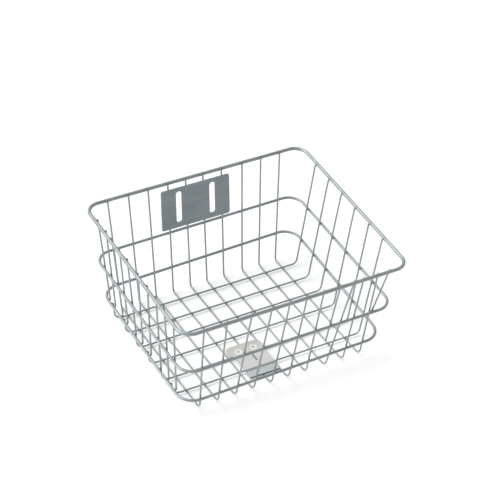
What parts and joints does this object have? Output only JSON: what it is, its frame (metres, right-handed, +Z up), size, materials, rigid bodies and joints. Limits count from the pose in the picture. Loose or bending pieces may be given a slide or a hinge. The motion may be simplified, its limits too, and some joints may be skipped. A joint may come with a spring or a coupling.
{
  "type": "wire basket",
  "caption": "Open wire basket with leaning walls and a rounded rim, a slotted mounting plate inside its back wall and a folded sheet bracket on its floor.",
  "frame": {"origin": "under the middle of the rim, at the level that the basket stands on", "axes": "+X along the long side towards the right wall, +Y from the front wall towards the back wall with the slotted plate, +Z up"},
  "size_m": [0.341, 0.2872, 0.1734],
  "materials": {
    "painted_wire": "satin grey paint over drawn steel wire",
    "painted_sheet": "satin blue-grey paint over steel sheet",
    "stainless_sheet": "bare rolled sheet, lightly brushed"
  },
  "bodies": {
    "root": {"rim_hoop": "painted_wire", "middle_hoop": "painted_wire", "lower_hoop": "painted_wire", "front_back_wire_01": "painted_wire", "front_back_wire_02": "painted_wire", "front_back_wire_03": "painted_wire", "front_back_wire_04": "painted_wire", "front_back_wire_05": "painted_wire", "front_back_wire_06": "painted_wire", "front_back_wire_07": "painted_wire", "front_back_wire_08": "painted_wire", "front_back_wire_09": "painted_wire", "front_back_wire_10": "painted_wire", "side_wire_01": "painted_wire", "side_wire_02": "painted_wire", "side_wire_03": "painted_wire", "side_wire_04": "painted_wire", "side_wire_05": "painted_wire", "side_wire_06": "painted_wire", "left_upright_01": "painted_wire", "left_upright_02": "painted_wire", "left_upright_03": "painted_wire", "left_upright_04": "painted_wire", "left_upright_05": "painted_wire", "left_upright_06": "painted_wire", "left_upright_07": "painted_wire", "left_upright_08": "painted_wire", "left_upright_09": "painted_wire", "left_upright_10": "painted_wire", "front_upright_01": "painted_wire", "front_upright_02": "painted_wire", "mounting_plate": "painted_sheet", "floor_bracket": "stainless_sheet"}
  },
  "joints": []
}
